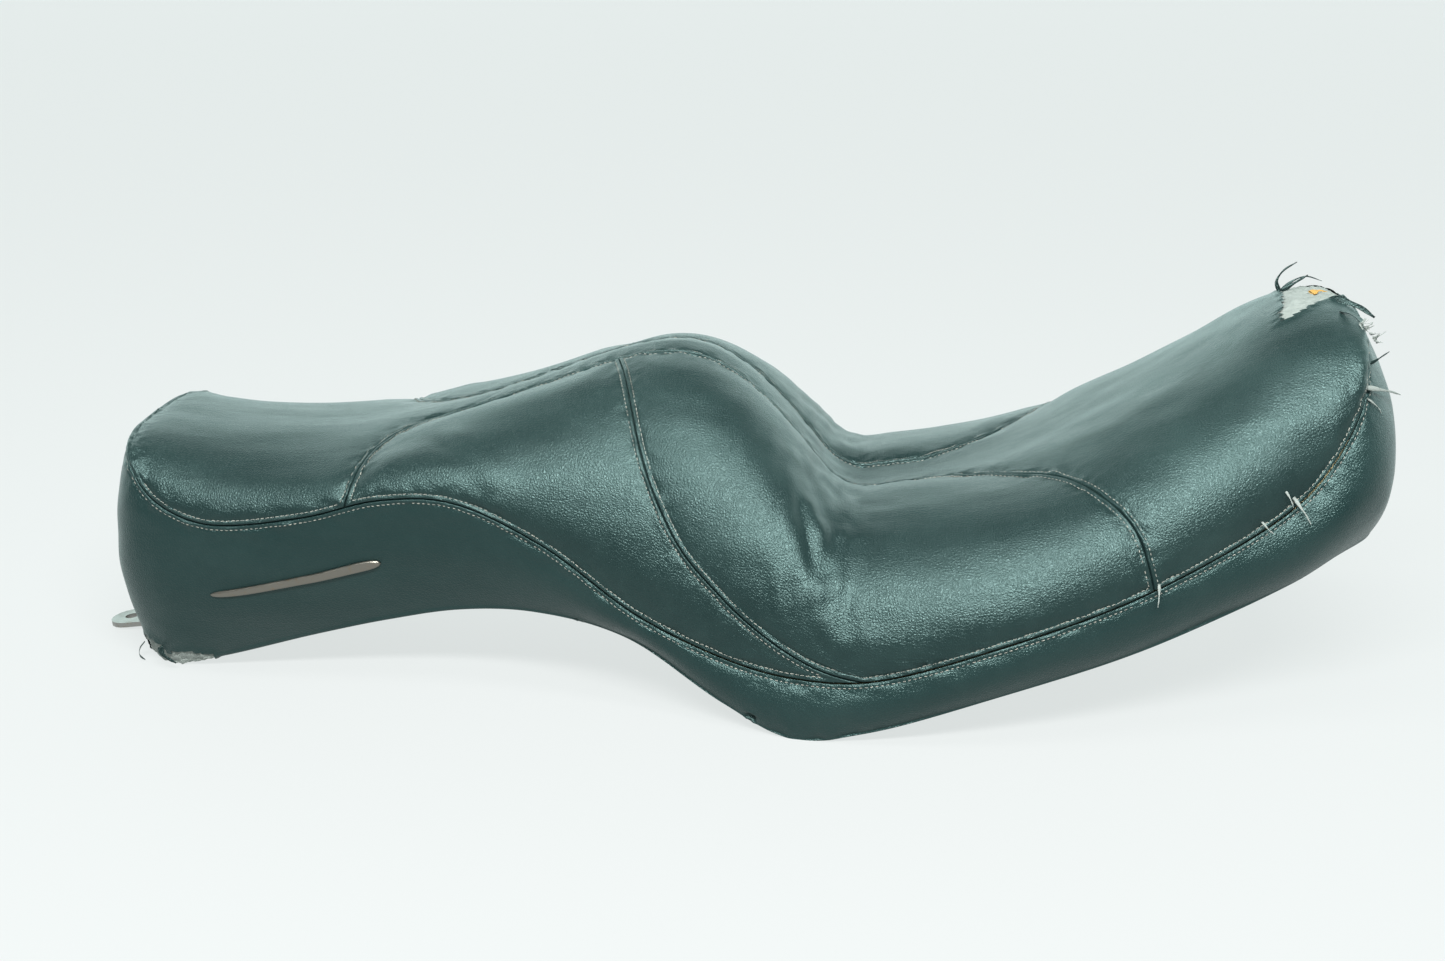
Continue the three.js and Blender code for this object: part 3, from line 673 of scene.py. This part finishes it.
def cover(name, node, places, faces, facts):
    """A finished cover panel that stands for a CAD node."""
    places, faces, facts = only_used(places, faces, facts)
    piece = mesh_object(name, places, faces, facts=facts)
    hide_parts(node)
    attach(piece, "root")
    return piece


def top_panel(name, node, side, line_from, line_to, length):
    """A panel beside the strip, between two sewing lines across the top."""
    along = graded(length)
    sweeps = STRIP_SWEEP + (1 - STRIP_SWEEP) * graded(170)
    start, end = line_outline(line_from, sweeps), line_outline(line_to, sweeps)
    outline = start + (end - start) * along[:, None]
    places = mirrored(top_point(outline, np.broadcast_to(sweeps, outline.shape)), side)
    places, facts = dress(places, TOP_PUFF, flip=side < 0)
    sew(places, facts["seam"] / MM)
    faces = grid_faces(*outline.shape, flip=side < 0)
    return cover(name, node, places, faces, facts)


def centre_panel():
    """The long middle panel: the pillion end, the strip over the step and the nose, all in one."""
    rows, columns = graded(210, 330, 260), graded(170, 40, 170)
    stretch = np.minimum(rows.astype(int), 2)
    sweeps = np.interp(columns, [0, 1, 2, 3], [-1, -STRIP_SWEEP, STRIP_SWEEP, 1])
    stops = np.stack([
        np.full_like(sweeps, END_MARGIN),
        line_outline(REAR_FLARE, sweeps),
        line_outline(NOSE_FLARE, sweeps),
        np.full_like(sweeps, 1 - END_MARGIN),
    ])
    share = (rows - stretch)[:, None]
    outline = stops[stretch] + (stops[stretch + 1] - stops[stretch]) * share
    smooth = top_point(outline, np.broadcast_to(sweeps, outline.shape))
    torn = torn_depth(smooth[..., :2], NOSE_TEAR, smooth)
    normals = grid_normals(smooth)
    places, facts = dress(smooth, TOP_PUFF)
    bare = places.copy()
    places = places + normals * lifted_lip(torn)[..., None]
    row_stops = [int(np.argmin(np.abs(rows - stop))) for stop in (1, 2)]
    strip = slice(*(int(np.argmin(np.abs(columns - stop))) + last for stop, last in ((1, 0), (2, 1))))
    distance = facts["seam"] / MM
    rear, nose = slice(None, row_stops[0] + 1), slice(row_stops[1], None)
    middle = slice(row_stops[0], row_stops[1] + 1)
    sew(places[rear], distance[rear], ("end", "low", "high"))
    sew(places[nose], distance[nose], ("start", "low", "high"))
    sew(places[middle, strip], distance[middle, strip], ("low", "high"))
    kept = np.ones((len(rows) - 1, len(columns) - 1), bool)
    kept[row_stops[0] : row_stops[1]] = False
    kept[row_stops[0] : row_stops[1], strip.start : strip.stop - 1] = True
    faces = grid_faces(*outline.shape)
    patch = wadding_patch("nose_fleece", bare, normals, torn, faces, 0.5)
    kept &= face_mean(torn) < 0
    return cover("centre_panel_cover", "centre_panel", places, faces[kept.ravel()], facts), patch


def rounded_edge(places, corner):
    """The same grid with the crease along one column rounded off."""
    for _ in range(10):
        near = slice(corner - 6, corner + 3)
        smooth = (places[:, corner - 7 : corner + 2] + places[:, corner - 5 : corner + 4]) / 2
        places[:, near] = 0.5 * places[:, near] + 0.5 * smooth
    return places


def valance(side_name):
    """One half of the valance: down from the seam, round the bottom edge and back under the pan's rim."""
    side = SIDES[side_name]
    outline = 0.0004 + 0.9992 * graded(900)
    falls = graded(VALANCE_DROP)
    under = np.linspace(0, HEM_WIDTH, 9)[1:]
    wall = side_point(*np.broadcast_arrays(outline[:, None], falls[None]))
    hem = inset(base_curve, *np.broadcast_arrays(outline[:, None], under[None]))
    corner = len(falls) - 1
    places = rounded_edge(np.concatenate([wall, hem], axis=1), corner)
    places = mirrored(places, side)
    distance, along = seam_distance(places)
    height = relief(places, distance, along, VALANCE_PUFF)
    height *= np.clip((corner - np.arange(places.shape[1])) / 9, 0, 1)
    sew_distance = distance
    sink, distance = hole_relief(places, distance)
    facts = cover_facts(places, distance)
    normals = grid_normals(places) * side
    down = np.concatenate([falls * VALANCE_DROP, VALANCE_DROP + under])
    flat = np.stack(np.broadcast_arrays(outline[:, None] * CORNER_SCALE, down[None]), -1)
    torn = torn_depth(flat, CORNER_TEAR, places) if side < 0 else np.full(distance.shape, -99.0)
    bare = places + normals * height[..., None]
    places = bare + normals * (sink + lifted_lip(torn))[..., None]
    places[..., 2] = np.maximum(places[..., 2], -ORIGIN[2])
    sew(places, sew_distance, ("low",))
    faces = grid_faces(*distance.shape, flip=side < 0)
    kept = (face_mean(torn) < 0).ravel()
    name = f"valance_cover_{side_name}"
    yield cover(name, f"valance_{side_name}", places, faces[kept], facts)
    if side < 0:
        yield wadding_patch("corner_fleece", bare, normals, torn, faces, 0.2)


def all_covers():
    yield from centre_panel()
    for side_name, side in SIDES.items():
        rear_node, front_node = f"pillion_side_panel_{side_name}", f"bucket_panel_{side_name}"
        yield top_panel(f"pillion_cover_{side_name}", rear_node, side, REAR_FLARE, CROSS_SEAM, 170)
        yield top_panel(f"bucket_cover_{side_name}", front_node, side, CROSS_SEAM, NOSE_FLARE, 240)
        yield from valance(side_name)


# --- Inside --------------------------------------------------------------------------------------

FOAM_DEPTH = 7.5
FOAM_STEPS = 120
PAN_ROOF = [
    (-351, 24), (-295, 35), (-235, 52), (-190, 64), (-148, 72), (-104, 74), (-50, 66),
    (8, 42), (48, 30), (89, 32), (158, 48), (240, 70), (318, 97), (372, 114),
]
PAN_RIM = 20
PAN_LIFT = 4.4
PAN_THICKNESS = 4
pan_roof = profile(PAN_ROOF)


def foam_section(outline):
    """Half of the foam's outline at one place along the seat, from the middle below to the middle on top."""
    at = np.array([outline])
    foot = inset(base_curve, at, np.array([FOAM_DEPTH]))[0]
    foot[2] += PAN_LIFT + PAN_THICKNESS + 2
    roof = max(pan_roof(foot[0]) + PAN_THICKNESS + 3, foot[2])
    shoulder = max(abs(foot[1]) - PAN_RIM, 0.3 * abs(foot[1]))
    under = [np.array([foot[0], y, roof]) for y in np.linspace(0, shoulder, 12)]
    falls = np.linspace(0.9, 0, 14)
    wall = side_point(np.full(14, outline), falls, FOAM_DEPTH)
    wall[:, 2] = np.maximum(wall[:, 2], foot[2])
    top = top_point(np.full(20, outline), np.linspace(1, 0, 20), FOAM_DEPTH)
    return np.vstack([under, foot[None], wall, top[1:]])


def foam_bun():
    """The foam, with its underside hollowed for the pan."""
    halves = [foam_section(outline) for outline in np.linspace(0.02, 0.98, FOAM_STEPS)]
    rings = np.array([np.vstack([half, mirrored(half[-2:0:-1], -1)]) for half in halves])
    piece = mesh_object("foam_core", rings, tube_faces(*rings.shape[:2], flip=True))
    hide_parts("foam_bun", "top_wadding")
    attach(piece, "root")
    return piece


# --- Trim ----------------------------------------------------------------------------------------

BADGE_FROM, BADGE_TO, BADGE_FALL, BADGE_HALF_HEIGHT = 0.202, 0.3, 0.49, 0.045
BADGE_GAP = 0.2
BADGE_THICKNESS = 1.8
BADGE_SINK = 0.9 * VALANCE_PUFF  # the bar follows the cover that it is pinned to


def badge(side_name):
    """A plain tapered trim bar on the valance, rounded across and at both ends."""
    lengths, turns = np.linspace(0, 1, 70), np.linspace(0, 2 * math.pi, 24, endpoint=False)
    taper = np.sqrt(np.clip(1 - (2 * lengths - 1) ** 8, 0.0004, 1)) * (0.62 + 0.38 * lengths)
    outline = BADGE_FROM + (BADGE_TO - BADGE_FROM) * lengths
    fall = BADGE_FALL + BADGE_HALF_HEIGHT * taper[:, None] * np.cos(turns)
    outline = np.broadcast_to(outline[:, None], fall.shape)
    rise = BADGE_GAP + BADGE_THICKNESS * np.clip(taper[:, None] * np.sin(turns) * 1.6, -0.1, 0.9)
    places = side_point(outline, fall) + outward(base_curve, outline) * (rise + BADGE_SINK)[..., None]
    places = mirrored(places, SIDES[side_name])
    faces = tube_faces(*places.shape[:2], flip=SIDES[side_name] > 0)
    piece = mesh_object(f"trim_bar_{side_name}", places, faces)
    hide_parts(f"badge_{side_name}")
    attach(piece, "root")
    return piece


# --- Materials -----------------------------------------------------------------------------------


class Nodes:
    """A short way to write a material as a chain of shader nodes."""

    def __init__(self, name):
        self.material = bpy.data.materials.new(name)
        self.material.use_nodes = True
        self.tree = self.material.node_tree
        self.shader = self.tree.nodes["Principled BSDF"]
        self.coordinates = self.add("ShaderNodeTexCoord").outputs["Object"]

    def add(self, kind, settings=None, **inputs):
        node = self.tree.nodes.new(kind)
        for key, value in (settings or {}).items():
            setattr(node, key, value)
        for key, value in inputs.items():
            self.put(node.inputs[key.replace("_", " ")], value)
        return node

    def put(self, socket, value):
        if isinstance(value, bpy.types.NodeSocket):
            self.tree.links.new(value, socket)
        else:
            socket.default_value = value

    def fact(self, name):
        return self.add("ShaderNodeAttribute", {"attribute_name": name}).outputs["Fac"]

    def stretched(self, x=1, y=1, z=1):
        node = self.add("ShaderNodeMapping", Vector=self.coordinates)
        node.inputs["Scale"].default_value = (x, y, z)
        return node.outputs["Vector"]

    def noise(self, scale, detail=4, roughness=0.6, where=None):
        where = where or self.coordinates
        node = self.add("ShaderNodeTexNoise", Vector=where, Scale=scale, Detail=detail, Roughness=roughness)
        return node.outputs["Fac"]

    def cells(self, scale, feature="DISTANCE_TO_EDGE", where=None):
        where = where or self.coordinates
        node = self.add("ShaderNodeTexVoronoi", {"feature": feature}, Vector=where, Scale=scale)
        return node.outputs["Distance"]

    def spread(self, value, low, high, to_low=0.0, to_high=1.0):
        node = self.add("ShaderNodeMapRange", Value=value)
        for key, number in (("From Min", low), ("From Max", high), ("To Min", to_low), ("To Max", to_high)):
            node.inputs[key].default_value = number
        return node.outputs["Result"]

    def maths(self, operation, first, second=0.0):
        node = self.add("ShaderNodeMath", {"operation": operation})
        self.put(node.inputs[0], first)
        self.put(node.inputs[1], second)
        return node.outputs[0]

    def mix(self, share, first, second):
        node = self.add("ShaderNodeMix", {"data_type": "RGBA"})
        for socket, value in zip((node.inputs[0], node.inputs[6], node.inputs[7]), (share, first, second)):
            self.put(socket, value)
        return node.outputs[2]

    def bump(self, height, depth, strength=1.0, under=None):
        node = self.add("ShaderNodeBump", Height=height, Distance=depth, Strength=strength)
        if under:
            self.put(node.inputs["Normal"], under)
        return node.outputs["Normal"]

    def finish(self, **inputs):
        for key, value in inputs.items():
            self.put(self.shader.inputs[key.replace("_", " ")], value)
        return self.material


def colour(red, green, blue):
    return (red, green, blue, 1)


def vinyl(name, dark, pale, rub_gain):
    """Grained teal-black vinyl: paler where it is rubbed or dusty, with painted shade in the joins and the
    small holes.
    """
    n = Nodes(name)
    blotch = n.noise(14, 5, 0.55)
    fine = n.noise(160, 3)
    wear = n.maths("MULTIPLY", n.fact("wear"), n.spread(blotch, 0.3, 0.7, 0.4, 1.4))
    wear = n.maths("MULTIPLY", wear, rub_gain)
    dust = n.spread(n.noise(60, 6, 0.7), 0.45, 0.75, 0, 0.09)
    share = n.maths("ADD", wear, dust)
    tone = n.mix(share, colour(*dark), colour(*pale))
    # Painted shade: within half a millimetre of a join, and inside the small holes, the tone falls to 0.3 of
    # the dark vinyl.
    shade = n.spread(n.fact("seam"), 0.0, 0.0005, 0.3, 1.0)
    tone = n.mix(shade, colour(*(0.3 * channel for channel in dark)), tone)
    grain = n.cells(620)
    pits = n.cells(1400, where=n.stretched(1, 1.3, 1))
    fine_grain = n.maths("ADD", n.spread(grain, 0, 0.3), n.maths("MULTIPLY", n.spread(pits, 0, 0.3), 0.4))
    creases = n.noise(90, 3, 0.5, where=n.stretched(0.35, 1, 1))
    relief_normal = n.bump(creases, 0.0012, 0.35)
    normal = n.bump(fine_grain, 0.0002, 0.6, relief_normal)
    rough = n.spread(n.maths("ADD", blotch, n.maths("MULTIPLY", fine, 0.4)), 0.4, 1.0, 0.29, 0.41)
    n.shader.inputs["Sheen Weight"].default_value = 0.06
    n.shader.inputs["Sheen Roughness"].default_value = 0.4
    n.shader.inputs["Sheen Tint"].default_value = colour(0.6, 1.0, 0.95)
    n.shader.inputs["Specular IOR Level"].default_value = 0.47
    n.shader.inputs["Specular Tint"].default_value = colour(0.66, 1.0, 0.95)
    return n.finish(Base_Color=tone, Roughness=rough, Normal=normal)


def thread():
    n = Nodes("thread")
    tone = n.mix(n.fact("shade"), colour(0.1, 0.11, 0.1), colour(0.28, 0.28, 0.24))
    twist = n.add("ShaderNodeTexWave", Vector=n.coordinates, Scale=900.0).outputs["Fac"]
    return n.finish(Base_Color=tone, Roughness=0.75, Normal=n.bump(twist, 0.0001, 0.6))


def foam(name, dark, pale):
    n = Nodes(name)
    tone = n.mix(n.noise(30), colour(*dark), colour(*pale))
    pores = n.cells(900, "F1")
    return n.finish(Base_Color=tone, Roughness=0.95, Normal=n.bump(pores, 0.0006, 0.8))


def fleece():
    n = Nodes("fleece")
    tone = n.mix(n.noise(220, 5), colour(0.15, 0.175, 0.16), colour(0.25, 0.285, 0.265))
    fibres = n.noise(1500, 4, 0.7, where=n.stretched(1, 0.4, 1))
    return n.finish(Base_Color=tone, Roughness=0.95, Normal=n.bump(fibres, 0.0006, 0.8))


def pan_plastic():
    n = Nodes("pan_plastic")
    tone = n.mix(n.noise(25, 6), colour(0.012, 0.013, 0.014), colour(0.035, 0.037, 0.036))
    rough = n.spread(n.noise(120, 4), 0.3, 0.7, 0.38, 0.6)
    return n.finish(Base_Color=tone, Roughness=rough, Normal=n.bump(n.noise(900, 2), 0.0002, 0.5))


def steel(name, tone, rough_low, rough_high):
    n = Nodes(name)
    spots = n.spread(n.noise(300, 6, 0.7), 0.55, 0.75)
    base = n.mix(spots, colour(*tone), colour(0.22, 0.16, 0.1))
    rough = n.spread(n.noise(80, 5), 0.3, 0.7, rough_low, rough_high)
    n.shader.inputs["Metallic"].default_value = 1.0
    return n.finish(Base_Color=base, Roughness=rough, Normal=n.bump(n.noise(1500, 3), 0.00005, 0.6))


def rubber():
    n = Nodes("bumper_rubber")
    tone = n.mix(n.noise(120, 5), colour(0.012, 0.012, 0.012), colour(0.05, 0.05, 0.048))
    return n.finish(Base_Color=tone, Roughness=0.7, Normal=n.bump(n.noise(700, 3), 0.0003, 0.6))


def paint_piece(piece, material):
    piece.data.materials.clear()
    piece.data.materials.append(material)


def paint_nodes(material, *starts):
    """Gives CAD nodes whose names begin that way a finish, and softens their edges."""
    for name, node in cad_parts.items():
        if not name.startswith(starts):
            continue
        for holder in node.material_slots:
            holder.material = material
        soften = node.modifiers.new("soften", "BEVEL")
        soften.width = 0.0003
        soften.segments = 2
        soften.limit_method = "ANGLE"
        soften.angle_limit = math.radians(35)


# --- The seat ------------------------------------------------------------------------------------

top_vinyl = vinyl("top_vinyl", (0.003, 0.01, 0.01), (0.04, 0.075, 0.07), 0.4)
side_vinyl = vinyl("side_vinyl", (0.003, 0.012, 0.012), (0.03, 0.055, 0.052), 0.5)

white_fleece = fleece()

for piece in all_covers():
    if piece.name.endswith("fleece"):
        paint_piece(piece, white_fleece)
        continue
    on_side = piece.name.startswith("valance")
    paint_piece(piece, side_vinyl if on_side else top_vinyl)

sewn = stitching(STITCH_RUNS)
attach(sewn, "root")
paint_piece(sewn, thread())

paint_piece(shreds("vinyl_shreds", VINYL_SHREDS), top_vinyl)
torn_foam = foam("torn_foam", (0.32, 0.17, 0.03), (0.42, 0.27, 0.08))
paint_piece(shreds("foam_crumbs", FOAM_CRUMBS), torn_foam)
paint_piece(shreds("fleece_shreds", [*FLEECE_SHREDS, *fuzz()]), white_fleece)

core = foam_bun()
paint_piece(core, foam("foam", (0.5, 0.42, 0.2), (0.7, 0.62, 0.36)))

trim_metal = steel("trim_metal", (0.2, 0.19, 0.165), 0.3, 0.45)
for side_name in SIDES:
    paint_piece(badge(side_name), trim_metal)

paint_nodes(pan_plastic(), "base_pan", "bumper_pin")
paint_nodes(steel("plated_steel", (0.3, 0.3, 0.285), 0.32, 0.5), "rear_mounting_tab", "front_tongue_bracket")
paint_nodes(steel("rivet_steel", (0.3, 0.3, 0.3), 0.25, 0.45), "rear_tab_rivet", "front_tongue_rivet")
paint_nodes(rubber(), "bumper_rear", "bumper_middle", "bumper_front")

# --- Where it stands -----------------------------------------------------------------------------

SEAT_MIDDLE = Vector((0, 0, 0.1))
WALL_TONE = colour(1.7, 2.1, 2.05)
ROOM_TONE = colour(0.1, 0.13, 0.128)
FLOOR_REACH = 12
FLOOR_GLOW = 0.73


def floor():
    """A pale sheet far wider than the seat."""
    mesh = bpy.data.meshes.new("floor")
    corners = [(x * FLOOR_REACH, y * FLOOR_REACH, 0) for x, y in ((-1, -1), (1, -1), (1, 1), (-1, 1))]
    mesh.from_pydata(corners, [], [(0, 1, 2, 3)])
    ground = bpy.data.objects.new("floor", mesh)
    bpy.context.scene.collection.objects.link(ground)
    n = Nodes("pale_floor")
    n.shader.inputs["Emission Strength"].default_value = FLOOR_GLOW
    glow = colour(0.95, 1.0, 0.99)
    mesh.materials.append(n.finish(Base_Color=colour(0.05, 0.05, 0.05), Emission_Color=glow, Roughness=0.9))
    ground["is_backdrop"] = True


def area_light(name, location, size, power):
    """A soft light that points at the middle of the seat."""
    lamp = bpy.data.lights.new(name, "AREA")
    lamp.shape = "RECTANGLE"
    lamp.size, lamp.size_y = size
    lamp.energy = power
    holder = bpy.data.objects.new(name, lamp)
    holder.location = location
    holder.rotation_euler = (SEAT_MIDDLE - Vector(location)).to_track_quat("-Z", "Y").to_euler()
    bpy.context.scene.collection.objects.link(holder)


def sky():
    """A pale wall behind the seat, and a dimmer room above and in front of it."""
    world = bpy.context.scene.world or bpy.data.worlds.new("sky")
    bpy.context.scene.world = world
    world.use_nodes = True
    tree = world.node_tree
    backdrop = tree.nodes["Background"]
    direction = tree.nodes.new("ShaderNodeSeparateXYZ")
    where = tree.nodes.new("ShaderNodeTexCoord").outputs["Generated"]
    tree.links.new(where, direction.inputs[0])
    shares = []
    for axis, low, high in (("Y", -0.25, 0.2), ("Z", 0.7, 0.38)):
        ramp = tree.nodes.new("ShaderNodeMapRange")
        ramp.interpolation_type = "SMOOTHSTEP"
        tree.links.new(direction.outputs[axis], ramp.inputs["Value"])
        ramp.inputs["From Min"].default_value = low
        ramp.inputs["From Max"].default_value = high
        shares.append(ramp.outputs["Result"])
    wall = tree.nodes.new("ShaderNodeMath")
    wall.operation = "MULTIPLY"
    mix = tree.nodes.new("ShaderNodeMix")
    mix.data_type = "RGBA"
    for socket, share in zip(wall.inputs, shares):
        tree.links.new(share, socket)
    tree.links.new(wall.outputs[0], mix.inputs[0])
    mix.inputs[6].default_value = ROOM_TONE
    mix.inputs[7].default_value = WALL_TONE
    tree.links.new(mix.outputs[2], backdrop.inputs["Color"])


def camera():
    lens = bpy.data.cameras.new("camera")
    lens.lens = 50
    lens.sensor_width = 36
    eye = bpy.data.objects.new("camera", lens)
    eye.location = (0.0924, -1.1555, 0.4572)
    eye.rotation_euler = (math.radians(73), 0, math.radians(4.5))
    bpy.context.scene.collection.objects.link(eye)
    bpy.context.scene.camera = eye


floor()
sky()
camera()
area_light("front_softbox", (0.1, -1.35, 1.45), (1.5, 0.3), 100)
area_light("top_softbox", (-0.1, -0.45, 1.8), (1.3, 0.35), 17)
bpy.context.scene.view_settings.view_transform = "Standard"

[[list(corner) for corner in box] for box in (CAD_BOX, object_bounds())]
